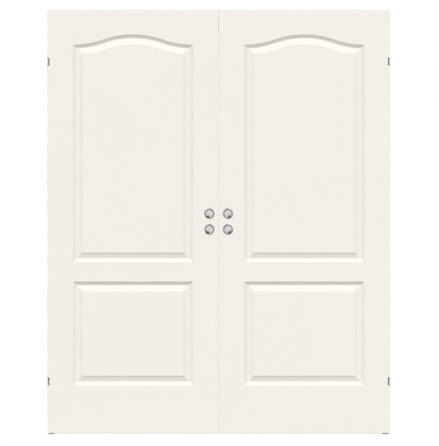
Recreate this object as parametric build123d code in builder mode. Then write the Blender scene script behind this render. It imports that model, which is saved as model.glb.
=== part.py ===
from build123d import *
import os
from math import sqrt

# Double sliding door: two moulded panel leaves that part in the middle, each hung on a telescopic
# rail that hides behind the closed leaf, in a timber frame for a wall opening.
# Millimetres. X runs along the wall, Y goes into the wall and Z is up.
# The origin is at floor level, in the middle of the doorway and of the whole depth.
# Every piece is built for the right leaf, and the left one is its mirror image in the plane X = 0.

# Leaf
leaf_height = 2040.0
leaf_width = 824.5
leaf_thickness = 40.0
meeting_gap = 1.0
floor_clearance = 5.0

# Moulded skin
skin_thickness = 3.2
skin_edge_radius = 1.5
overrun = 5.0

# Panels: where they lie on the leaf, and the moulding round each one
face_stile_width = 124.0
face_bottom_rail = 232.0
lower_panel_height = 498.0
face_middle_rail = 95.0
face_top_rail = 120.0
arch_rise = 50.0
cove_width = 17.0
cove_depth = 8.6
valley_flat = 0.8
bevel_width = 28.0
bevel_rise = 7.9
# Across and down the cove, from the leaf's face to the valley
cove_shares = ((0.0, 0.0), (0.10, 0.20), (0.38, 0.50), (0.68, 0.755), (1.0, 1.0))
# Across and up the bevel, from the valley to the raised field
bevel_shares = ((0.0, 0.0), (0.655, 0.53), (1.0, 1.0))

# Timber inside the leaf
outer_stile_width = 45.0
meeting_stile_width = 95.0
top_rail_height = 90.0
bottom_rail_height = 120.0

# Round finger pulls
pull_flange_diameter = 52.0
pull_flange_thickness = 1.5
pull_rim_slope = 1.0
pull_body_diameter = 46.0
pull_depth = 11.0
pull_wall = 1.2
pull_bowl_taper = 2.0
pull_floor_chamfer = 3.0
pull_bore_clearance = 0.15
pull_edge_distance = 44.5
pull_pair_height = 1019.0
pull_pair_spacing = 76.0

# Stop buffers in the outer edge of the leaf
buffer_height = 37.5
buffer_depth = 10.0
buffer_from_leaf_end = 250.0
buffer_clip_lip = 4.0
buffer_clip_back = 5.5
buffer_notch_clearance = 0.1
buffer_pad_clearance = 0.1
buffer_pad_face_inset = 0.5
buffer_pad_round = 3.0

# Guide channel under the leaf, and the bracket at the jamb's foot that runs in it
channel_width = 14.0
channel_height = 17.0
channel_wall = 1.5
channel_clearance = 0.1
channel_end_inset = 1.0
guide_fin_thickness = 8.0
guide_fin_rise = 14.0
guide_width = 26.0
guide_arm_thickness = 2.5
guide_floor_gap = 1.0
guide_plate_thickness = 3.0
guide_plate_height = 56.0
guide_edge_radius = 1.5
guide_screw_shares = (0.45, 0.82)

# Frame
leaf_to_frame_gap = 8.0
frame_depth = 100.0
jamb_thickness = 30.0
jamb_set_back = 5.0
frame_below_leaf_top = 4.0
soffit_thickness = 30.0
frame_edge_radius = 2.0
gear_pocket_depth = 34.0
gear_pocket_drop = 34.0
gear_below_leaf_top = 38.0
fixing_hole_radius = 4.25
fixing_hole_count = 3
fixing_hole_from_foot = 250.0
fixing_hole_from_top = 193.0
corner_screw_shares = (0.3, 0.7)

# Telescopic rail: a strip on the frame, a beam between, and a strip on the leaf
open_leaf_overlap = 44.5
rail_end_inset = 12.0
strip_thickness = 4.0
strip_height = 52.0
strip_corner_radius = 6.0
beam_side_gap = 1.5
beam_web = 4.0
beam_flange = 4.0
beam_lip_height = 5.0
beam_lip_thickness = 2.5
beam_edge_radius = 1.0
roller_radius = 17.7
roller_width = 9.0
roller_clearance = 0.3
roller_side_clearance = 1.0
roller_bore_radius = 4.05
roller_edge_chamfer = 0.8
roller_recess_radius = 7.0
roller_recess_depth = 2.0
roller_end_inset = 27.0
axle_clearance = 0.05
axle_collar_radius = 7.0
axle_head_radius = 6.0
axle_head_thickness = 1.2
axle_end_play = 0.2
stop_length = 15.0
stop_gap = 2.3
stop_clearance = 0.2
rail_screw_shares = (0.05, 0.28, 0.60, 0.80, 0.96)

# Countersunk screws
screw_radius = 2.25
screw_head_radius = 4.5
screw_length = 25.0
screw_tip = 3.0
screw_clearance = 0.1
corner_screw_radius = 2.75
corner_screw_head_radius = 5.5
corner_screw_length = 75.0

# Places along Y, from the front to the back
total_depth = pull_flange_thickness + leaf_thickness + leaf_to_frame_gap + frame_depth
leaf_front_y = pull_flange_thickness - total_depth / 2
leaf_middle_y = leaf_front_y + leaf_thickness / 2
leaf_back_y = leaf_front_y + leaf_thickness
frame_front_y = leaf_back_y + leaf_to_frame_gap
frame_middle_y = frame_front_y + frame_depth / 2
frame_back_y = frame_front_y + frame_depth
pocket_back_y = frame_front_y + gear_pocket_depth
timber_thickness = leaf_thickness - 2 * skin_thickness

# Places along X, for the right leaf
leaf_inner_x = meeting_gap / 2
leaf_outer_x = leaf_inner_x + leaf_width
leaf_centre_x = leaf_inner_x + leaf_width / 2
jamb_outer_x = leaf_outer_x - jamb_set_back
jamb_inner_x = jamb_outer_x - jamb_thickness
jamb_middle_x = jamb_outer_x - jamb_thickness / 2
rail_start_x = leaf_inner_x + rail_end_inset
rail_end_x = leaf_outer_x - rail_end_inset
rail_length = rail_end_x - rail_start_x
rail_middle_x = rail_start_x + rail_length / 2
cross_rail_start_x = leaf_inner_x + meeting_stile_width
cross_rail_length = leaf_width - meeting_stile_width - outer_stile_width
cross_rail_x = cross_rail_start_x + cross_rail_length / 2
slide_travel = leaf_width - open_leaf_overlap

# Places along Z
leaf_bottom_z = floor_clearance
leaf_top_z = leaf_bottom_z + leaf_height
leaf_centre_z = leaf_bottom_z + leaf_height / 2
gear_z = leaf_top_z - gear_below_leaf_top
pocket_floor_z = gear_z - gear_pocket_drop
head_bottom_z = pocket_floor_z - soffit_thickness
frame_top_z = leaf_top_z - frame_below_leaf_top
lower_panel_bottom = leaf_bottom_z + face_bottom_rail
upper_panel_bottom = lower_panel_bottom + lower_panel_height + face_middle_rail
upper_panel_side_height = leaf_top_z - face_top_rail - arch_rise - upper_panel_bottom
fixing_hole_reach = head_bottom_z - fixing_hole_from_foot - fixing_hole_from_top
fixing_hole_spacing = fixing_hole_reach / (fixing_hole_count - 1)

# The beam is a web with a channel on each side, and each channel holds its rollers behind two lips
channel_depth = roller_width + 2 * roller_side_clearance
channel_opening = 2 * (roller_radius + roller_clearance)
channel_mouth = channel_opening - 2 * beam_lip_height
beam_height = channel_opening + 2 * beam_flange
beam_depth = beam_web + 2 * (channel_depth + beam_lip_thickness)
beam_middle_y = leaf_back_y + strip_thickness + beam_side_gap + beam_depth / 2
front_channel_y = beam_middle_y - beam_web / 2 - channel_depth / 2
back_channel_y = beam_middle_y + beam_web / 2 + channel_depth / 2
leaf_strip_face_y = leaf_back_y + strip_thickness
frame_strip_face_y = pocket_back_y - strip_thickness

# The beam moves half as far as the leaf, and the rollers stay inside it over the whole travel
roller_reach = rail_length - slide_travel / 2 - stop_length - stop_gap - roller_radius
leaf_roller_xs = (rail_start_x + roller_end_inset, rail_start_x + roller_reach)
frame_roller_xs = (rail_end_x - roller_reach, rail_end_x - roller_end_inset)
leaf_screw_xs = [cross_rail_start_x + cross_rail_length * share for share in rail_screw_shares]
frame_screw_xs = [rail_start_x + rail_end_x - x for x in leaf_screw_xs]

front_plane = Plane.XZ.offset(-leaf_front_y)
middle_plane = Plane.XZ.offset(-leaf_middle_y)
back_plane = Plane.XZ.offset(-leaf_back_y)
pocket_plane = Plane.XZ.offset(-pocket_back_y)
to_front, to_back, to_right = (0, -1, 0), (0, 1, 0), (1, 0, 0)

os.makedirs("parts", exist_ok=True)


def write(part, name):
    part.label = name
    export_step(part, f"parts/{name}.step")


def write_pair(part, name):
    """The right-hand piece as built, and its mirror image on the left."""
    write(part, f"right_{name}")
    write(mirror(part, about=Plane.YZ), f"left_{name}")


def facing(x, y, z, direction):
    """The place of something whose own Z axis points along direction."""
    return Plane(origin=(x, y, z), x_dir=(0, 0, 1), z_dir=direction).location


# Where the screws' heads, the axles and the pulls sit
leaf_screw_places = [facing(x, leaf_strip_face_y, gear_z, to_back) for x in leaf_screw_xs]
frame_screw_places = [facing(x, frame_strip_face_y, gear_z, to_front) for x in frame_screw_xs]
guide_face_y = frame_front_y - guide_plate_thickness
guide_screw_zs = [guide_floor_gap + guide_plate_height * share for share in guide_screw_shares]
guide_screw_places = [facing(jamb_middle_x, guide_face_y, z, to_front) for z in guide_screw_zs]
corner_screw_ys = [frame_front_y + gear_pocket_depth * share for share in corner_screw_shares]
corner_screw_places = [Location((jamb_middle_x, y, pocket_floor_z)) for y in corner_screw_ys]
fixing_zs = [fixing_hole_from_foot + n * fixing_hole_spacing for n in range(fixing_hole_count)]
fixing_places = [facing(jamb_outer_x, frame_middle_y, z, to_right) for z in fixing_zs]
leaf_axle_places = [facing(x, leaf_back_y, gear_z, to_back) for x in leaf_roller_xs]
frame_axle_places = [facing(x, pocket_back_y, gear_z, to_front) for x in frame_roller_xs]
pull_x = leaf_inner_x + pull_edge_distance
pull_upper_z = leaf_bottom_z + pull_pair_height + pull_pair_spacing / 2
pull_lower_z = pull_upper_z - pull_pair_spacing
pull_places = {
    "front_upper": facing(pull_x, leaf_front_y, pull_upper_z, to_front),
    "front_lower": facing(pull_x, leaf_front_y, pull_lower_z, to_front),
    "back_upper": facing(pull_x, leaf_back_y, pull_upper_z, to_back),
    "back_lower": facing(pull_x, leaf_back_y, pull_lower_z, to_back),
}
front_pull_places = [pull_places["front_upper"], pull_places["front_lower"]]
buffer_zs = {"upper": leaf_top_z - buffer_from_leaf_end, "lower": leaf_bottom_z + buffer_from_leaf_end}

screw_bore_radius = screw_radius + screw_clearance
screw_bore_depth = screw_length + screw_clearance
screw_sink_radius = screw_head_radius + screw_clearance
corner_bore_radius = corner_screw_radius + screw_clearance
corner_bore_depth = corner_screw_length + screw_clearance
corner_sink_radius = corner_screw_head_radius + screw_clearance
axle_radius = roller_bore_radius - axle_clearance
pull_bore_radius = pull_body_diameter / 2 + pull_bore_clearance
pull_bore_depth = pull_depth + pull_bore_clearance
right_angle = 90

# Screws: the head's face is at Z = 0 and the shank goes down


def countersunk_screw(radius, head_radius, length):
    with BuildPart() as screw:
        with BuildSketch(Plane.XZ):
            with BuildLine():
                Polyline(
                    (0, 0),
                    (head_radius, 0),
                    (radius, radius - head_radius),
                    (radius, screw_tip - length),
                    (0, -length),
                    close=True,
                )
            make_face()
        revolve(axis=Axis.Z)
    return screw.part


rail_screw = countersunk_screw(screw_radius, screw_head_radius, screw_length)
corner_screw = countersunk_screw(corner_screw_radius, corner_screw_head_radius, corner_screw_length)

with BuildPart() as leaf_rail_screws:
    with Locations(*leaf_screw_places):
        add(rail_screw)
write_pair(leaf_rail_screws.part, "leaf_rail_screws")

with BuildPart() as rail_screws:
    with Locations(*frame_screw_places, *guide_screw_places):
        add(rail_screw)
    mirror(about=Plane.YZ)
write(rail_screws.part, "rail_screws")

with BuildPart() as corner_screws:
    with Locations(*corner_screw_places):
        add(corner_screw)
    mirror(about=Plane.YZ)
write(corner_screws.part, "corner_screws")

# Frame: two jambs, and the head on top of them, cut away at the front to make room for the rails

with BuildPart() as jamb:
    with BuildSketch():
        with Locations((jamb_middle_x, frame_middle_y)):
            Rectangle(jamb_thickness, frame_depth)
    extrude(amount=head_bottom_z)
    fillet(jamb.edges().filter_by(Axis.Z), frame_edge_radius)
    with Locations(*fixing_places):
        Hole(fixing_hole_radius, jamb_thickness)
    with Locations(*corner_screw_places):
        Hole(corner_bore_radius, corner_bore_depth)
    with Locations(*guide_screw_places):
        Hole(screw_bore_radius, screw_bore_depth)
write_pair(jamb.part, "jamb")

with BuildPart() as head:
    with BuildSketch(Plane.YZ):
        with BuildLine():
            Polyline(
                (frame_front_y, head_bottom_z),
                (frame_back_y, head_bottom_z),
                (frame_back_y, frame_top_z),
                (pocket_back_y, frame_top_z),
                (pocket_back_y, pocket_floor_z),
                (frame_front_y, pocket_floor_z),
                close=True,
            )
        make_face()
    extrude(amount=jamb_outer_x)
    fillet(head.edges().filter_by(Axis.X).group_by(Axis.Z)[0], frame_edge_radius)
    with Locations(*corner_screw_places):
        CounterSinkHole(corner_bore_radius, corner_sink_radius, soffit_thickness, right_angle)
    with Locations(*frame_screw_places):
        Hole(screw_bore_radius, screw_bore_depth)
    mirror(about=Plane.YZ)
write(head.part, "head")

# Telescopic rail: both strips, the beam and its stops


with BuildPart() as leaf_rail:
    with BuildSketch(back_plane):
        with Locations((rail_middle_x, gear_z)):
            RectangleRounded(rail_length, strip_height, strip_corner_radius)
    extrude(amount=-strip_thickness)
    with Locations(*[facing(x, leaf_strip_face_y, gear_z, to_back) for x in leaf_roller_xs]):
        Hole(axle_radius + axle_clearance, strip_thickness)
    with Locations(*leaf_screw_places):
        CounterSinkHole(screw_bore_radius, screw_sink_radius, strip_thickness, right_angle)
write_pair(leaf_rail.part, "leaf_rail")

with BuildPart() as fixed_rail:
    with BuildSketch(pocket_plane):
        with Locations((rail_middle_x, gear_z)):
            RectangleRounded(rail_length, strip_height, strip_corner_radius)
    extrude(amount=strip_thickness)
    with Locations(*[facing(x, frame_strip_face_y, gear_z, to_front) for x in frame_roller_xs]):
        Hole(axle_radius + axle_clearance, strip_thickness)
    with Locations(*frame_screw_places):
        CounterSinkHole(screw_bore_radius, screw_sink_radius, strip_thickness, right_angle)
write_pair(fixed_rail.part, "fixed_rail")

with BuildPart() as beam:
    with BuildSketch(Plane.YZ.offset(rail_start_x)) as beam_section:
        with Locations((beam_middle_y, gear_z)):
            Rectangle(beam_depth, beam_height)
        fillet(beam_section.vertices(), beam_edge_radius)
        with Locations((front_channel_y, gear_z), (back_channel_y, gear_z)):
            Rectangle(channel_depth, channel_opening, mode=Mode.SUBTRACT)
        with Locations((beam_middle_y - beam_depth / 2, gear_z), (beam_middle_y + beam_depth / 2, gear_z)):
            Rectangle(2 * beam_lip_thickness, channel_mouth, mode=Mode.SUBTRACT)
    extrude(amount=rail_length)
write_pair(beam.part, "beam")

with BuildPart() as beam_stops:
    with BuildSketch(Plane.YZ.offset(rail_end_x - stop_length)):
        with Locations((front_channel_y, gear_z)):
            Rectangle(channel_depth - 2 * stop_clearance, channel_opening - 2 * stop_clearance)
    extrude(amount=stop_length)
    with BuildSketch(Plane.YZ.offset(rail_start_x)):
        with Locations((back_channel_y, gear_z)):
            Rectangle(channel_depth - 2 * stop_clearance, channel_opening - 2 * stop_clearance)
    extrude(amount=stop_length)
write_pair(beam_stops.part, "beam_stops")

# Rollers and axles: Z = 0 is where the axle's tail ends, flush with the back of its strip
roller_seat = strip_thickness + beam_side_gap + beam_lip_thickness + roller_side_clearance
roller_end = roller_seat + roller_width
recess_floor = roller_end - roller_recess_depth
collar_end = roller_seat - axle_end_play
axle_head_start = recess_floor + axle_end_play
axle_end = axle_head_start + axle_head_thickness

with BuildPart() as axle:
    with BuildSketch(Plane.XZ):
        with BuildLine():
            Polyline(
                (0, 0),
                (axle_radius, 0),
                (axle_radius, strip_thickness),
                (axle_collar_radius, strip_thickness),
                (axle_collar_radius, collar_end),
                (axle_radius, collar_end),
                (axle_radius, axle_head_start),
                (axle_head_radius, axle_head_start),
                (axle_head_radius, axle_end),
                (0, axle_end),
                close=True,
            )
        make_face()
    revolve(axis=Axis.Z)

with BuildPart() as roller:
    with BuildSketch(Plane.XZ):
        with BuildLine():
            Polyline(
                (roller_bore_radius, roller_seat),
                (roller_radius - roller_edge_chamfer, roller_seat),
                (roller_radius, roller_seat + roller_edge_chamfer),
                (roller_radius, roller_end - roller_edge_chamfer),
                (roller_radius - roller_edge_chamfer, roller_end),
                (roller_recess_radius, roller_end),
                (roller_recess_radius, recess_floor),
                (roller_bore_radius, recess_floor),
                close=True,
            )
        make_face()
    revolve(axis=Axis.Z)

with BuildPart() as leaf_axles:
    with Locations(*leaf_axle_places):
        add(axle.part)
write_pair(leaf_axles.part, "leaf_axles")

with BuildPart() as fixed_axles:
    with Locations(*frame_axle_places):
        add(axle.part)
    mirror(about=Plane.YZ)
write(fixed_axles.part, "fixed_axles")

roller_names = ("leaf_roller_inner", "leaf_roller_outer", "fixed_roller_inner", "fixed_roller_outer")
for name, place in zip(roller_names, leaf_axle_places + frame_axle_places):
    with BuildPart() as placed_roller:
        with Locations(place):
            add(roller.part)
    write_pair(placed_roller.part, name)

# Floor guide: a bent bracket on the jamb's foot with a fin that stands in the leaf's channel
fin_front_y = leaf_middle_y - guide_fin_thickness / 2
fin_back_y = leaf_middle_y + guide_fin_thickness / 2
fin_top_z = leaf_bottom_z + guide_fin_rise
arm_top_z = guide_floor_gap + guide_arm_thickness
plate_top_z = guide_floor_gap + guide_plate_height

with BuildPart() as floor_guide:
    with BuildSketch(Plane.YZ.offset(jamb_middle_x)):
        with BuildLine():
            Polyline(
                (fin_front_y, guide_floor_gap),
                (frame_front_y, guide_floor_gap),
                (frame_front_y, plate_top_z),
                (guide_face_y, plate_top_z),
                (guide_face_y, arm_top_z),
                (fin_back_y, arm_top_z),
                (fin_back_y, fin_top_z),
                (fin_front_y, fin_top_z),
                close=True,
            )
        make_face()
    extrude(amount=guide_width / 2, both=True)
    fin_edges = floor_guide.edges().filter_by(Axis.Z).group_by(Axis.Y)
    fillet(fin_edges[0] + fin_edges[1], guide_edge_radius)
    with Locations(*guide_screw_places):
        CounterSinkHole(screw_bore_radius, screw_sink_radius, guide_plate_thickness, right_angle)
write_pair(floor_guide.part, "floor_guide")

# Leaf: the moulded skins


def panel_face(inset, bottom, side_height, rise):
    """A panel's outline, drawn in by inset. A rise makes its top an arch of three tangent arcs."""
    half = leaf_width / 2 - face_stile_width
    left, right = leaf_centre_x - half + inset, leaf_centre_x + half - inset
    foot, side_top = bottom + inset, bottom + side_height
    with BuildSketch() as outline:
        with BuildLine():
            if rise:
                radius = ((half / 2) ** 2 + (rise / 2) ** 2) / rise
                shoulder = side_top + radius - sqrt((radius + inset) ** 2 - inset**2)
                lean = (radius + inset) / (2 * radius)
                turn_x = half * (1 - lean)
                turn_z = side_top + radius + (rise - 2 * radius) * lean
                turn_left = (leaf_centre_x - turn_x, turn_z)
                turn_right = (leaf_centre_x + turn_x, turn_z)
                crown = (leaf_centre_x, side_top + rise - inset)
                Polyline((left, shoulder), (left, foot), (right, foot), (right, shoulder))
                RadiusArc((right, shoulder), turn_right, radius + inset)
                ThreePointArc(turn_right, crown, turn_left)
                RadiusArc(turn_left, (left, shoulder), radius + inset)
            else:
                head_z = side_top - inset
                Polyline((left, foot), (right, foot), (right, head_z), (left, head_z), close=True)
        make_face()
    return outline.sketch


panels = (
    (lower_panel_bottom, lower_panel_height, 0),
    (upper_panel_bottom, upper_panel_side_height, arch_rise),
)
bevel_start = cove_width + valley_flat
slab_depth = cove_depth + 2 * skin_thickness
notch_height = buffer_height + 2 * buffer_notch_clearance
notch_depth = buffer_depth + buffer_notch_clearance
notch_places = [(leaf_outer_x, z) for z in buffer_zs.values()]


def moulded_slab(sink, margin):
    """A slab with both panels pressed into its face. It lies sink behind the leaf's face and is
    margin larger than the leaf all round."""
    with BuildPart() as slab:
        with BuildSketch(front_plane.offset(-sink)):
            with Locations((leaf_centre_x, leaf_centre_z)):
                Rectangle(leaf_width + 2 * margin, leaf_height + 2 * margin)
        extrude(amount=-slab_depth)
        if not margin:
            fillet(slab.faces().sort_by(Axis.Y)[0].edges(), skin_edge_radius)
        for bottom, side_height, rise in panels:
            for across_share, down_share in cove_shares:
                with BuildSketch(front_plane.offset(-sink - cove_depth * down_share)):
                    add(panel_face(cove_width * across_share, bottom, side_height, rise))
            loft(ruled=True, mode=Mode.SUBTRACT)
            for across_share, up_share in bevel_shares:
                with BuildSketch(front_plane.offset(-sink - cove_depth + bevel_rise * up_share)):
                    add(panel_face(bevel_start + bevel_width * across_share, bottom, side_height, rise))
            loft(ruled=True)
    return slab.part


with BuildPart() as front_skin:
    add(moulded_slab(0, 0))
    add(moulded_slab(skin_thickness, overrun), mode=Mode.SUBTRACT)
    with Locations(*front_pull_places):
        Hole(pull_bore_radius, slab_depth)
    with BuildSketch(middle_plane):
        with Locations(*notch_places):
            Rectangle(2 * notch_depth, notch_height)
    extrude(amount=leaf_thickness, both=True, mode=Mode.SUBTRACT)
write_pair(front_skin.part, "front_skin")

with BuildPart() as back_skin:
    add(mirror(front_skin.part, about=middle_plane))
    with Locations(*leaf_screw_places):
        Hole(screw_bore_radius, screw_bore_depth)
write_pair(back_skin.part, "back_skin")

# Leaf: the timber between the skins

with BuildPart() as bottom_groove:
    with BuildSketch(Plane.YZ.offset(leaf_inner_x - overrun)):
        with Locations((leaf_middle_y, leaf_bottom_z)):
            Rectangle(channel_width + 2 * channel_clearance, 2 * (channel_height + channel_clearance))
    extrude(amount=leaf_width + 2 * overrun)

with BuildPart() as meeting_stile:
    with BuildSketch(middle_plane):
        with Locations((leaf_inner_x + meeting_stile_width / 2, leaf_centre_z)):
            Rectangle(meeting_stile_width, leaf_height)
    extrude(amount=timber_thickness / 2, both=True)
    with Locations(*pull_places.values()):
        Hole(pull_bore_radius, pull_bore_depth)
    add(bottom_groove.part, mode=Mode.SUBTRACT)
write_pair(meeting_stile.part, "meeting_stile")

with BuildPart() as outer_stile:
    with BuildSketch(middle_plane):
        with Locations((leaf_outer_x - outer_stile_width / 2, leaf_centre_z)):
            Rectangle(outer_stile_width, leaf_height)
        with Locations(*notch_places):
            Rectangle(2 * notch_depth, notch_height, mode=Mode.SUBTRACT)
    extrude(amount=timber_thickness / 2, both=True)
    add(bottom_groove.part, mode=Mode.SUBTRACT)
write_pair(outer_stile.part, "outer_stile")

with BuildPart() as top_rail:
    with BuildSketch(middle_plane):
        with Locations((cross_rail_x, leaf_top_z - top_rail_height / 2)):
            Rectangle(cross_rail_length, top_rail_height)
    extrude(amount=timber_thickness / 2, both=True)
    with Locations(*leaf_screw_places):
        Hole(screw_bore_radius, screw_bore_depth)
write_pair(top_rail.part, "top_rail")

with BuildPart() as bottom_rail:
    with BuildSketch(middle_plane):
        with Locations((cross_rail_x, leaf_bottom_z + bottom_rail_height / 2)):
            Rectangle(cross_rail_length, bottom_rail_height)
    extrude(amount=timber_thickness / 2, both=True)
    add(bottom_groove.part, mode=Mode.SUBTRACT)
write_pair(bottom_rail.part, "bottom_rail")

with BuildPart() as guide_channel:
    with BuildSketch(Plane.YZ.offset(leaf_inner_x + channel_end_inset)):
        with Locations((leaf_middle_y, leaf_bottom_z)):
            Rectangle(channel_width, channel_height, align=(Align.CENTER, Align.MIN))
            Rectangle(
                channel_width - 2 * channel_wall,
                channel_height - channel_wall,
                align=(Align.CENTER, Align.MIN),
                mode=Mode.SUBTRACT,
            )
    extrude(amount=leaf_width - 2 * channel_end_inset)
write_pair(guide_channel.part, "guide_channel")

# Finger pulls: Z = 0 is the leaf's face, the flange stands proud of it and the bowl goes in
flange_radius = pull_flange_diameter / 2
body_radius = pull_body_diameter / 2
bowl_mouth_radius = body_radius - pull_wall
bowl_foot_radius = bowl_mouth_radius - pull_bowl_taper
bowl_floor = pull_wall - pull_depth

with BuildPart() as pull:
    with BuildSketch(Plane.XZ):
        with BuildLine():
            Polyline(
                (0, -pull_depth),
                (body_radius, -pull_depth),
                (body_radius, 0),
                (flange_radius, 0),
                (flange_radius - pull_rim_slope, pull_flange_thickness),
                (bowl_mouth_radius, pull_flange_thickness),
                (bowl_foot_radius, bowl_floor + pull_floor_chamfer),
                (bowl_foot_radius - pull_floor_chamfer, bowl_floor),
                (0, bowl_floor),
                close=True,
            )
        make_face()
    revolve(axis=Axis.Z)

for name, place in pull_places.items():
    with BuildPart() as placed_pull:
        with Locations(place):
            add(pull.part)
    write_pair(placed_pull.part, f"pull_{name}")

# Stop buffers: a steel clip with two lips, and the pad that it holds
pad_start_x = leaf_outer_x - buffer_depth + buffer_clip_back
pad_height = buffer_height - 2 * buffer_clip_lip - 2 * buffer_pad_clearance
pad_depth = buffer_depth - buffer_clip_back

for name, z in buffer_zs.items():
    with BuildPart() as buffer_clip:
        with BuildSketch(middle_plane):
            with Locations((leaf_outer_x, z)):
                Rectangle(buffer_depth, buffer_height, align=(Align.MAX, Align.CENTER))
                Rectangle(
                    pad_depth,
                    buffer_height - 2 * buffer_clip_lip,
                    align=(Align.MAX, Align.CENTER),
                    mode=Mode.SUBTRACT,
                )
        extrude(amount=leaf_thickness / 2, both=True)
    write_pair(buffer_clip.part, f"buffer_clip_{name}")

    with BuildPart() as buffer_pad:
        with BuildSketch(Plane.XY.offset(z)) as pad_section:
            with Locations((leaf_outer_x, leaf_middle_y)):
                Rectangle(
                    pad_depth,
                    leaf_thickness - 2 * buffer_pad_face_inset,
                    align=(Align.MAX, Align.CENTER),
                )
            fillet(pad_section.vertices().group_by(Axis.X)[-1], buffer_pad_round)
        extrude(amount=pad_height / 2, both=True)
    write_pair(buffer_pad.part, f"buffer_pad_{name}")
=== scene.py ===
# %% [markdown]
# # A white double sliding door
# Two moulded panel leaves meet in the middle of a doorway. Each one hangs on a telescopic rail
# that hides behind it. The solids of the door come in as a fixed frame of reference, in metres,
# and this lesson dresses them: lacquer, metal, turned finger cups, screws, light and a camera.

# %% Load the door
from math import radians

import bpy
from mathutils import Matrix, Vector


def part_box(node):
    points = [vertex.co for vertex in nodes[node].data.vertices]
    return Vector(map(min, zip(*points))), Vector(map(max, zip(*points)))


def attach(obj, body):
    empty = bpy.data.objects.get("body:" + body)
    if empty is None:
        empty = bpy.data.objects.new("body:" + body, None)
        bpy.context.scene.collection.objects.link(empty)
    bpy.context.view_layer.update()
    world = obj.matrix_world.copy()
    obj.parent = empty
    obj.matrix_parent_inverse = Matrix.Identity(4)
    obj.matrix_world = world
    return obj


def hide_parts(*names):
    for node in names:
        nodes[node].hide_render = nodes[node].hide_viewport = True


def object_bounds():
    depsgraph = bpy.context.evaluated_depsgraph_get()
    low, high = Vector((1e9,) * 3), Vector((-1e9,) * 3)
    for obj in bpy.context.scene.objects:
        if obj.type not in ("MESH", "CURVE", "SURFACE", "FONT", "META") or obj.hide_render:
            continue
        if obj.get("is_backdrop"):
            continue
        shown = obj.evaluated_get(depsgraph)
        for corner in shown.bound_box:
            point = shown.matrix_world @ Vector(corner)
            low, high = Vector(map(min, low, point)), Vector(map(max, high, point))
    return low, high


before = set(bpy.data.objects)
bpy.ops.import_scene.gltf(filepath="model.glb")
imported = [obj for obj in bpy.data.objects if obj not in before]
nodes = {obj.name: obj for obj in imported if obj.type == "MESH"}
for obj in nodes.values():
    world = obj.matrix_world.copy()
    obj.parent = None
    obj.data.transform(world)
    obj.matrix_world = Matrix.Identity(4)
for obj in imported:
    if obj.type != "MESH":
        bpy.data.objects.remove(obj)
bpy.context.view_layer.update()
bpy.ops.object.select_all(action="DESELECT")

# %% [markdown]
# ## Sums with shader sockets
# A finish is a small graph of nodes. Wiring it line by line hides the idea, so one class wraps a
# socket and lets Python's own operators add the Math nodes. Every other node comes from a single
# method, which sets the node's options first and then its inputs.

# %% A socket that takes part in sums
class Socket:
    def __init__(self, graph, output):
        self.graph, self.output = graph, output

    def _math(self, operation, first, second):
        return self.graph.node("ShaderNodeMath", {"operation": operation}, {0: first, 1: second})

    def __add__(self, other):
        return self._math("ADD", self, other)

    def __radd__(self, other):
        return self._math("ADD", other, self)

    def __sub__(self, other):
        return self._math("SUBTRACT", self, other)

    def __rsub__(self, other):
        return self._math("SUBTRACT", other, self)

    def __mul__(self, other):
        return self._math("MULTIPLY", self, other)

    def __rmul__(self, other):
        return self._math("MULTIPLY", other, self)

    def __pow__(self, other):
        return self._math("POWER", self, other)

    def __rpow__(self, other):
        return self._math("POWER", other, self)


# %% A graph and its one node-making method
class Graph:
    def __init__(self, owner):
        owner.use_nodes = True
        self.tree = owner.node_tree
        self.tree.nodes.clear()

    def node(self, kind, options=None, inputs=None, output=0):
        made = self.tree.nodes.new(kind)
        for option, value in (options or {}).items():
            setattr(made, option, value)
        for key, value in (inputs or {}).items():
            if isinstance(value, Socket):
                self.tree.links.new(value.output, made.inputs[key])
            else:
                made.inputs[key].default_value = value
        return Socket(self, made.outputs[output]) if made.outputs else made


# %% A finish
class Finish(Graph):
    def __init__(self, name):
        self.material = bpy.data.materials.new(name)
        super().__init__(self.material)

    def place(self):
        """Where a point lies on the door, in metres."""
        return self.node("ShaderNodeTexCoord", output="Object")

    def stretched(self, scale):
        """The same place with each axis scaled, so that a pattern runs along one of them."""
        return self.node("ShaderNodeMapping", inputs={"Vector": self.place(), "Scale": scale})

    def noise(self, vector, scale, detail, roughness=0.5):
        sockets = {"Vector": vector, "Scale": scale, "Detail": detail, "Roughness": roughness}
        return self.node("ShaderNodeTexNoise", {"noise_dimensions": "3D"}, sockets)

    def tint(self, factor, first, second):
        """From one colour to another as the factor goes from 0 to 1."""
        # A Mix node has a set of sockets for each kind of data, and those for colour go by number
        sockets = {"Factor": factor, 6: (*first, 1), 7: (*second, 1)}
        return self.node("ShaderNodeMix", {"data_type": "RGBA"}, sockets, output=2)

    def bump(self, height, strength, distance):
        sockets = {"Height": height, "Strength": strength, "Distance": distance}
        return self.node("ShaderNodeBump", inputs=sockets)

    def surface(self, **sockets):
        named = {key.replace("_", " "): value for key, value in sockets.items()}
        shader = self.node("ShaderNodeBsdfPrincipled", inputs=named)
        self.node("ShaderNodeOutputMaterial", inputs={"Surface": shader})
        return self.material


# %% Giving a finish to the solids
def dress(material, *names):
    """Gives the finish to each CAD node named."""
    for name in names:
        for slot in nodes[name].material_slots:
            slot.material = material
    print(material.name, "on", len(names), "nodes")


def both(*names):
    """The names of the left and the right node of each kind."""
    return [f"{side}_{name}" for side in ("left", "right") for name in names]


# %% [markdown]
# ## The lacquer
# The leaves are sprayed at the factory in a warm off-white. Up close such a coat has a faint
# orange peel and a sheen that wanders a little. A smooth noise at a few millimetres makes the
# peel as bump, and a much slower one shifts the roughness and the tone by a hair. The walls of
# the mouldings are also painted a little greyer, as painted shade: the further a point leans away
# from facing front or back, the darker its tone.

# %% A sprayed lacquer
# Scales in patterns to the metre
PEEL_SCALE, DRIFT_SCALE = 260.0, 2.2
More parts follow.
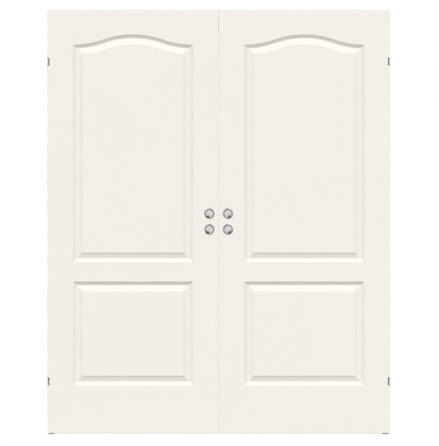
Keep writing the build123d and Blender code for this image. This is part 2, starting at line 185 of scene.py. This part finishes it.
# How far the drift and the painted slope shade move a leaf's tone, and how far the drift moves the
# roughness
LEAF_DRIFT, LEAF_SLOPE_SHADE, SHEEN_DRIFT = 0.2, 1.6, 0.06


def painted_slope_shade(finish):
    """Painted shade: 0 on a flat leaf, and the sine of the slope on the walls of its mouldings."""
    facing = finish.node("ShaderNodeTexCoord", output="Normal")
    across = finish.node("ShaderNodeSeparateXYZ", inputs={"Vector": facing}, output="Y")
    return (1 - across * across) ** 0.5


def lacquer(name, pale, deep, roughness, moulded_leaf=False):
    finish = Finish(name)
    place = finish.place()
    peel = finish.noise(place, PEEL_SCALE, detail=1.0)
    drift = finish.noise(place, DRIFT_SCALE, detail=2.0)
    # On a moulded leaf the walls of the mouldings are also painted darker, as painted shade, besides the
    # drift.
    drift_and_slope_shade = drift * LEAF_DRIFT + painted_slope_shade(finish) * LEAF_SLOPE_SHADE if moulded_leaf else drift
    return finish.surface(
        Base_Color=finish.tint(drift_and_slope_shade, pale, deep),
        Roughness=drift * SHEEN_DRIFT + (roughness - SHEEN_DRIFT / 2),
        Normal=finish.bump(peel, strength=0.05, distance=0.0004),
        Specular_IOR_Level=0.3,
    )


# %% Lacquer the leaves and the frame
# The leaf's darker tone is reached through the random drift and through the painted shade on the moulding
# walls.
leaf_white = lacquer(
    "leaf_lacquer", (0.902, 0.871, 0.816), (0.832, 0.803, 0.752), roughness=0.55, moulded_leaf=True
)
edge_white = lacquer("edge_lacquer", (0.890, 0.858, 0.800), (0.870, 0.838, 0.780), roughness=0.57)
frame_white = lacquer("frame_paint", (0.870, 0.860, 0.835), (0.850, 0.840, 0.812), roughness=0.50)
dress(leaf_white, *both("front_skin", "back_skin"))
dress(edge_white, *both("meeting_stile", "outer_stile", "top_rail", "bottom_rail"))
dress(frame_white, "head", *both("jamb"))

# %% [markdown]
# ## Metals
# Zinc-plated strip is rolled, so its marks run along it. A noise that is stretched along X gives
# that grain, and it feeds the colour, the roughness and a little bump: in a room that is white all
# round, a mirror alone shows no grain. The aluminium beams are drawn, with finer and straighter
# lines, and the rollers are ground to a dull shine.

# %% A metal with a grain
BLOOM_SCALE = 40.0
LINE_SHARE, BLOOM_SHARE = 0.7, 0.3
STREAK_START, STREAK_CONTRAST = 0.3, 2.5
GRAIN_SHEEN = 0.16


def metal(name, pale, deep, roughness, grain):
    """Grain gives the patterns to the metre along X, Y and Z."""
    finish = Finish(name)
    lines = finish.noise(finish.stretched(grain), scale=1.0, detail=3.0, roughness=0.6)
    bloom = finish.noise(finish.place(), BLOOM_SCALE, detail=3.0)
    streaks = (lines * LINE_SHARE + bloom * BLOOM_SHARE - STREAK_START) * STREAK_CONTRAST
    return finish.surface(
        Base_Color=finish.tint(streaks, pale, deep),
        Metallic=1.0,
        Roughness=lines * GRAIN_SHEEN + (roughness - GRAIN_SHEEN / 2),
        Normal=finish.bump(lines, strength=0.12, distance=0.0002),
    )


# %% Zinc, aluminium and steel
zinc = metal("rail_zinc", (0.70, 0.71, 0.72), (0.51, 0.52, 0.53), roughness=0.36, grain=(20, 900, 900))
aluminium = metal(
    "beam_aluminium", (0.85, 0.85, 0.86), (0.69, 0.69, 0.70), roughness=0.32, grain=(4, 1500, 1500)
)
ground_steel = metal(
    "roller_steel", (0.64, 0.64, 0.65), (0.46, 0.46, 0.47), roughness=0.28, grain=(700, 60, 700)
)
clip_steel = metal(
    "buffer_steel", (0.23, 0.23, 0.23), (0.17, 0.17, 0.17), roughness=0.45, grain=(600, 600, 90)
)
dress(zinc, "fixed_axles", *both("fixed_rail", "leaf_rail", "leaf_axles"))
dress(aluminium, *both("beam", "guide_channel"))
rollers = ("leaf_roller_inner", "leaf_roller_outer", "fixed_roller_inner", "fixed_roller_outer")
dress(ground_steel, *both(*rollers))
dress(clip_steel, *both("buffer_clip_upper", "buffer_clip_lower"))

# %% [markdown]
# ## Rubber and nylon
# The pads and stops are rubber with a fine matt grain, and the floor guides are nylon. All of them
# come out of a mould, so one helper serves them: a fine speckle gives the grain as roughness and
# bump, and a slower cloud shifts the tone. Nylon lets a little light in at the surface. A shader
# that scatters light would show that, but the guides are small, so a little more sheen is enough.

# %% A moulded finish
CLOUD_SCALE, SPECKLE_SHEEN = 60.0, 0.14


def moulded(name, pale, deep, roughness, grain):
    """Grain gives the speckles to the metre."""
    finish = Finish(name)
    place = finish.place()
    speckle = finish.noise(place, grain, detail=2.0)
    cloud = finish.noise(place, CLOUD_SCALE, detail=2.0)
    return finish.surface(
        Base_Color=finish.tint(cloud, pale, deep),
        Roughness=speckle * SPECKLE_SHEEN + (roughness - SPECKLE_SHEEN / 2),
        Normal=finish.bump(speckle, strength=0.15, distance=0.0003),
        Specular_IOR_Level=0.35,
    )


# %% Rubber and nylon
pad_rubber = moulded("buffer_rubber", (0.62, 0.62, 0.61), (0.58, 0.58, 0.57), roughness=0.55, grain=1400.0)
stop_rubber = moulded(
    "stop_rubber", (0.045, 0.045, 0.046), (0.03, 0.03, 0.031), roughness=0.7, grain=1100.0
)
nylon = moulded("guide_nylon", (0.86, 0.86, 0.83), (0.82, 0.82, 0.78), roughness=0.5, grain=1800.0)
dress(pad_rubber, *both("buffer_pad_upper", "buffer_pad_lower"))
dress(stop_rubber, *both("beam_stops"))
dress(nylon, *both("floor_guide"))

# %% [markdown]
# ## Chrome finger cups
# A flush pull is a pressed cup: a thin flange lies on the door, and a bowl goes in for the
# fingertips. On a lathe it would be turned in one pass, and the same is done here by hand: one disc
# is extruded again and again, each time to the next radius and height of the profile.

# %% A lathe
MERGE_DISTANCE = 0.000001


def turned(name, segments, rings):
    """A disc that is extruded from ring to ring, each with a radius and a height in metres."""
    radius, height = rings[0]
    bpy.ops.object.select_all(action="DESELECT")
    bpy.ops.mesh.primitive_circle_add(vertices=segments, radius=radius, fill_type="NGON")
    piece = bpy.context.object
    piece.name = name
    bpy.ops.object.mode_set(mode="EDIT")
    bpy.ops.mesh.select_all(action="SELECT")
    bpy.ops.transform.translate(value=(0, 0, height))
    for new_radius, new_height in rings[1:]:
        bpy.ops.mesh.extrude_region_move(
            TRANSFORM_OT_translate={"value": (0, 0, new_height - height)}
        )
        grow = new_radius / radius
        bpy.ops.transform.resize(value=(grow, grow, 1), center_override=(0, 0, new_height))
        radius, height = new_radius, new_height
    bpy.ops.mesh.select_all(action="SELECT")
    bpy.ops.mesh.remove_doubles(threshold=MERGE_DISTANCE)
    bpy.ops.mesh.normals_make_consistent(inside=False)
    bpy.ops.object.mode_set(mode="OBJECT")
    return piece


# %% Standing a piece in its place, and copying it
def pick(piece):
    """Makes a piece the only one selected."""
    bpy.ops.object.select_all(action="DESELECT")
    piece.select_set(True)
    bpy.context.view_layer.objects.active = piece


def stand(piece, place, tilt, spin=0.0):
    """Turns a piece about its own axis, tilts it, and applies its place to its mesh."""
    piece.rotation_mode = "ZYX"
    piece.rotation_euler = (radians(tilt), 0, radians(spin))
    piece.location = place
    pick(piece)
    bpy.ops.object.transform_apply(location=True, rotation=True, scale=True)


def twin(piece, name):
    """A copy with a mesh of its own."""
    copy = piece.copy()
    copy.data = piece.data.copy()
    copy.name = name
    bpy.context.scene.collection.objects.link(copy)
    return copy


# %% Polished chrome
HAZE_SCALE, HAZE_SHEEN, CHROME_ROUGHNESS = 90.0, 0.05, 0.045


def polished_chrome():
    finish = Finish("pull_chrome")
    haze = finish.noise(finish.place(), HAZE_SCALE, detail=3.0)
    return finish.surface(
        Base_Color=finish.tint(haze, (0.672, 0.668, 0.655), (0.632, 0.628, 0.615)),
        Metallic=1.0,
        Roughness=haze * HAZE_SHEEN + CHROME_ROUGHNESS,
    )


# %% Turn one cup
CUP_SEGMENTS, CUP_CREASE = 72, 50
# Radius and height of each ring in millimetres, from the back of the bowl to the middle of its floor
CUP_PROFILE = (
    (23.0, -10.98), (23.0, 0.0), (26.0, 0.0), (26.0, 0.25), (25.85, 0.6), (25.5, 0.95), (24.9, 1.25),
    (24.2, 1.42), (23.5, 1.48), (22.9, 1.42), (22.4, 1.2), (22.0, 0.8), (21.75, 0.2), (21.5, -0.8),
    (21.1, -2.4), (20.7, -3.9), (20.2, -5.2), (19.4, -6.4), (18.2, -7.4), (16.6, -8.2), (14.6, -8.85),
    (12.0, -9.32), (9.0, -9.6), (5.0, -9.77), (1.5, -9.8),
)
cup_rings = [(radius / 1000, height / 1000) for radius, height in CUP_PROFILE]
cup_pattern = turned("cup_pattern", CUP_SEGMENTS, cup_rings)
bpy.ops.object.shade_smooth_by_angle(angle=radians(CUP_CREASE))
cup_pattern.data.materials.append(polished_chrome())
print("cup faces:", len(cup_pattern.data.polygons))

# %% [markdown]
# The eight cups are copies of that pattern, each with its own mesh. A cup is stood in front of
# the door or behind it, and its place is then applied to its mesh so that the object itself stays
# at the origin, as the solids do.

# %% Set the cups in the leaves
TILTS = {"front": 90, "back": -90, "up": 0}
FLANGE = 0.0015


def set_cup(side, face, level):
    node = f"{side}_pull_{face}_{level}"
    low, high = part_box(node)
    seat = low.y + FLANGE if face == "front" else high.y - FLANGE
    cup = twin(cup_pattern, f"{side}_cup_{face}_{level}")
    stand(cup, ((low.x + high.x) / 2, seat, (low.z + high.z) / 2), TILTS[face])
    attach(cup, f"{side}_leaf")
    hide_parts(node)
    return cup


cups = [
    set_cup(side, face, level)
    for side in ("left", "right")
    for face in ("front", "back")
    for level in ("upper", "lower")
]
bpy.data.objects.remove(cup_pattern)
print("cups:", [cup.name for cup in cups])

# %% [markdown]
# ## Screws
# The rails, the guides and the head are held by countersunk screws, and a driver needs a cross in
# each head. One screw is turned on the same lathe, and two tapered blades are cut out of its head.
# The places come from the solids: a copy of each set is merged and split into its loose solids, and
# the box of each one tells where a screw sits. No two neighbours are driven to the same angle.

# %% Where the screws of a set sit
def solids_of(node):
    """The box of each separate solid in a CAD node."""
    pick(twin(nodes[node], f"{node}_copy"))
    bpy.ops.object.mode_set(mode="EDIT")
    bpy.ops.mesh.select_all(action="SELECT")
    bpy.ops.mesh.remove_doubles(threshold=MERGE_DISTANCE)
    bpy.ops.mesh.separate(type="LOOSE")
    bpy.ops.object.mode_set(mode="OBJECT")
    boxes = []
    for solid in list(bpy.context.selected_objects):
        corners = [Vector(corner) for corner in solid.bound_box]
        boxes.append((corners[0], corners[6]))
        bpy.data.objects.remove(solid)
    return sorted(boxes, key=lambda box: tuple(box[0]))


# %% Cut one slot of the cross
# Shares of the head's radius
CROSS_SHARE, CROSS_DEPTH_SHARE = 0.62, 0.5
# Shares of the cross's reach: how far out the cone's corners are at its foot and top
BLADE_FOOT_SHARE, BLADE_TOP_SHARE = 0.7, 1.414
# Thickness of a blade as a share of its width
BLADE_SHARE = 0.2


def cut_blade(screw, head_radius, turn):
    """Cuts one slot of the cross, with a square cone that is flattened to a blade."""
    reach, depth = head_radius * CROSS_SHARE, head_radius * CROSS_DEPTH_SHARE
    bpy.ops.object.select_all(action="DESELECT")
    bpy.ops.mesh.primitive_cone_add(
        vertices=4,
        radius1=reach * BLADE_FOOT_SHARE,
        radius2=reach * BLADE_TOP_SHARE,
        depth=2 * depth,
        rotation=(0, 0, radians(45)),
    )
    blade = bpy.context.object
    bpy.ops.object.transform_apply(location=True, rotation=True, scale=True)
    blade.scale = (1, BLADE_SHARE, 1)
    blade.rotation_euler = (0, 0, radians(turn))
    pick(screw)
    cut = screw.modifiers.new("cross", "BOOLEAN")
    cut.object = blade
    bpy.ops.object.modifier_apply(modifier=cut.name)
    bpy.data.objects.remove(blade)


# %% Turn a screw
SCREW_SEGMENTS, SCREW_CREASE = 40, 30
TIP_LENGTH, TIP_RADIUS = 0.003, 0.0002
# Share of the head's radius
SHANK_SHARE = 0.5


def countersunk(name, head_radius, length):
    """A screw that points down, with the middle of its head at the origin."""
    shank = head_radius * SHANK_SHARE
    rings = [
        (TIP_RADIUS, -length),
        (shank, TIP_LENGTH - length),
        (shank, shank - head_radius),
        (head_radius, 0.0),
    ]
    screw = turned(name, SCREW_SEGMENTS, rings)
    for turn in (0, 90):
        cut_blade(screw, head_radius, turn)
    bpy.ops.object.shade_smooth_by_angle(angle=radians(SCREW_CREASE))
    return screw


# %% Drive one set of screws
SPIN_STEP = 37
screw_zinc = metal(
    "screw_zinc", (0.76, 0.76, 0.75), (0.60, 0.60, 0.59), roughness=0.30, grain=(500, 500, 500)
)


def drive_screws(node, body, heading):
    boxes = solids_of(node)
    _, width, length = sorted(boxes[0][1] - boxes[0][0])
    pattern = countersunk(f"{node}_pattern", width / 2, length)
    pattern.data.materials.append(screw_zinc)
    screws = []
    for number, (low, high) in enumerate(boxes):
        place = (low + high) / 2
        if heading == "up":
            place.z = high.z
        else:
            place.y = low.y if heading == "front" else high.y
        screw = twin(pattern, f"{node}_{number}")
        stand(screw, place, TILTS[heading], number * SPIN_STEP)
        screws.append(screw)
    bpy.data.objects.remove(pattern)
    pick(screws[0])
    for screw in screws[1:]:
        screw.select_set(True)
    bpy.ops.object.join()
    joined = bpy.context.object
    joined.name = f"{node}_with_cross"
    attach(joined, body)
    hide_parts(node)
    print(joined.name, len(boxes), "screws,", len(joined.data.polygons), "faces")


# %% Drive all the sets
# The body that each set rides on, and the side to which its heads look
SCREW_SETS = {
    "corner_screws": ("frame", "up"),
    "rail_screws": ("frame", "front"),
    "left_leaf_rail_screws": ("left_leaf", "back"),
    "right_leaf_rail_screws": ("right_leaf", "back"),
}
for node, (body, heading) in SCREW_SETS.items():
    drive_screws(node, body, heading)

# %% [markdown]
# ## Floor and light
# The floor is plain and pale. To the camera it glows a little, so that it runs into the white
# ground, but it still takes the door's shadow. A soft sun stands high in front, which is what draws
# the mouldings: edges that face up are bright, edges that face down fall into shade. A second one
# lights the back of the door, a weaker one grazes it from a side, and the white world fills the rest.

# %% Floor
FLOOR_SIZE, FLOOR_GREY, FLOOR_GLOW = 60, 0.15, 0.86
WHITE = (1, 1, 1, 1)


def pale_floor():
    finish = Finish("pale_floor")
    seen = finish.node("ShaderNodeLightPath", output="Is Camera Ray")
    shone = finish.node("ShaderNodeLightPath", output="Is Glossy Ray")
    strength = (seen + shone) * FLOOR_GLOW
    glow = finish.node("ShaderNodeEmission", inputs={"Color": WHITE, "Strength": strength})
    grey = (FLOOR_GREY, FLOOR_GREY, FLOOR_GREY, 1)
    matt = finish.node("ShaderNodeBsdfDiffuse", inputs={"Color": grey})
    mixed = finish.node("ShaderNodeAddShader", inputs={0: glow, 1: matt})
    finish.node("ShaderNodeOutputMaterial", inputs={"Surface": mixed})
    return finish.material


bpy.ops.object.select_all(action="DESELECT")
bpy.ops.mesh.primitive_plane_add(size=FLOOR_SIZE, location=(0, 0, 0))
floor = bpy.context.object
floor.name = "floor"
floor.data.materials.append(pale_floor())
floor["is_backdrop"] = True
print("floor:", FLOOR_SIZE, "m")

# %% World
SKY_FILL = 0.22
world = bpy.data.worlds.new("studio")
bpy.context.scene.world = world
sky = Graph(world)
seen = sky.node("ShaderNodeLightPath", output="Is Camera Ray")
shone = sky.node("ShaderNodeLightPath", output="Is Glossy Ray")
through = sky.node("ShaderNodeLightPath", output="Is Transmission Ray")
white = sky.node("ShaderNodeBackground", inputs={"Color": WHITE, "Strength": 1.0})
fill = sky.node("ShaderNodeBackground", inputs={"Color": WHITE, "Strength": SKY_FILL})
mixed = sky.node("ShaderNodeMixShader", inputs={0: seen + shone + through, 1: fill, 2: white})
sky.node("ShaderNodeOutputWorld", inputs={"Surface": mixed})
print("sky fill:", SKY_FILL)

# %% Lamps
LAMP_HEIGHT = 5


def soft_sun(name, turn, elevation, spread, strength):
    """Parallel light. The spread softens its shadows, as a large cloth in front of it would."""
    bpy.ops.object.select_all(action="DESELECT")
    aim = (radians(90 - elevation), 0, radians(turn))
    bpy.ops.object.light_add(type="SUN", location=(0, 0, LAMP_HEIGHT), rotation=aim)
    lamp = bpy.context.object
    lamp.name = name
    lamp.data.angle = radians(spread)
    lamp.data.energy = strength
    lamp.visible_glossy = False
    print(name, "at", turn, "and", elevation, "degrees")


soft_sun("high_front_lamp", turn=0, elevation=40, spread=25, strength=3.30)
soft_sun("back_lamp", turn=145, elevation=18, spread=30, strength=2.6)
soft_sun("side_lamp", turn=260, elevation=5, spread=30, strength=1.3)

# %% [markdown]
# Polished chrome has no tone of its own, it only shows the room. So the photographer dresses the
# room for it. A ring of grey cloth round the camera's window draws the rims. Two cards hang above
# each pair of cups, between left and right, and a bowl shows them upside down: the pale one is low
# and tones the outer lower quarter of its floor, and the black one, higher and closer to the door,
# leaves a dark spot beside the rim. Only mirror reflections see them, so they shade nothing and
# never stand in the picture. The cards show their lower side only, so each serves its own pair. The
# cups on the back get the same room behind the door.

# %% What only mirrors see
def mirror_only(piece, tone, one_sided=False):
    finish = Finish(piece.name)
    shade = finish.node("ShaderNodeEmission", inputs={"Color": (tone, tone, tone, 1), "Strength": 1.0})
    if one_sided:
        behind = finish.node("ShaderNodeNewGeometry", output="Backfacing")
        clear = finish.node("ShaderNodeBsdfTransparent")
        shade = finish.node("ShaderNodeMixShader", inputs={0: behind, 1: shade, 2: clear})
    finish.node("ShaderNodeOutputMaterial", inputs={"Surface": shade})
    piece.data.materials.append(finish.material)
    piece.visible_camera = False
    piece.visible_diffuse = False
    piece.visible_shadow = False
    piece.visible_transmission = False
    piece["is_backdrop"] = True


# %% A card and a ring of cloth
CLOTH_SEGMENTS, CLOTH_RADIUS, CLOTH_DEPTH, CLOTH_AWAY = 64, 0.95, 0.55, 0.525


def card(name, place, width, length):
    """A card that hangs level, with its face down."""
    bpy.ops.object.select_all(action="DESELECT")
    bpy.ops.mesh.primitive_plane_add(size=1, location=place, rotation=(radians(180), 0, 0))
    bpy.context.object.name = name
    bpy.context.object.scale = (width, length, 1)
    return bpy.context.object


def cloth_ring(name, place):
    bpy.ops.object.select_all(action="DESELECT")
    bpy.ops.mesh.primitive_cylinder_add(
        vertices=CLOTH_SEGMENTS,
        radius=CLOTH_RADIUS,
        depth=CLOTH_DEPTH,
        end_fill_type="NOTHING",
        location=place,
        rotation=(radians(90), 0, 0),
    )
    bpy.context.object.name = name
    return bpy.context.object


# %% Hang the cloth and cards
TONES = {"dark": 0.0, "pale": 0.72, "cloth": 0.38}
# In metres: rise above the cups, near and far edge from the door's face, and width
CARDS = {
    "upper_dark": (0.078, 0.003, 0.337, 0.090),
    "lower_dark": (0.050, 0.003, 0.197, 0.085),
    "upper_pale": (0.012, 0.060, 0.400, 0.090),
    "lower_pale": (0.012, 0.060, 0.400, 0.090),
}
heights = {}
for level in ("upper", "lower"):
    low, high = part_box(f"right_pull_front_{level}")
    heights[level] = (low.z + high.z) / 2
cups_middle = (heights["upper"] + heights["lower"]) / 2
leaf_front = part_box("right_front_skin")[0].y
leaf_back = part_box("right_back_skin")[1].y
for side, face, away in (("front", leaf_front, -1), ("back", leaf_back, 1)):
    for name, (rise, near, far, width) in CARDS.items():
        level, tone = name.split("_")
        place = (0, face + away * (near + far) / 2, heights[level] + rise)
        mirror_only(card(f"{side}_{name}_card", place, width, far - near), TONES[tone], one_sided=True)
    ring_place = (0, face + away * CLOTH_AWAY, cups_middle)
    mirror_only(cloth_ring(f"{side}_grey_cloth", ring_place), TONES["cloth"])
print("cups at", {level: round(height, 4) for level, height in heights.items()})

# %% [markdown]
# ## Camera
# The picture is flat, with no lines that run together, so the camera stands far off with a long
# lens. Its distance and lens are tied to the height of the picture at the leaves' face, and it sits
# a few millimetres off the door's centre, as the picture does.

# %% Camera
PICTURE_HEIGHT = 2.1477
CAMERA_DISTANCE, CAMERA_RIGHT, CAMERA_DOWN = 40.0, 0.0040, 0.0074
SENSOR_WIDTH, FAR_CLIP = 36, 200
skin_low, skin_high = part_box("left_front_skin")
leaf_middle_height = (skin_low.z + skin_high.z) / 2
bpy.ops.object.camera_add(
    location=(CAMERA_RIGHT, skin_low.y - CAMERA_DISTANCE, leaf_middle_height - CAMERA_DOWN),
    rotation=(radians(90), 0, 0),
)
camera = bpy.context.object
camera.data.sensor_width = SENSOR_WIDTH
camera.data.lens = SENSOR_WIDTH * CAMERA_DISTANCE / PICTURE_HEIGHT
camera.data.clip_end = FAR_CLIP
bpy.context.scene.camera = camera
bpy.context.scene.view_settings.view_transform = "Standard"
print("lens:", round(camera.data.lens, 1), "mm")

# %% [markdown]
# ## Size
# The dressed door must be as large as the solids. The dressed door's box is written down.

# %% Write the sizes and finish
low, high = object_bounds()
print("visual size:", [round(v, 4) for v in high - low])
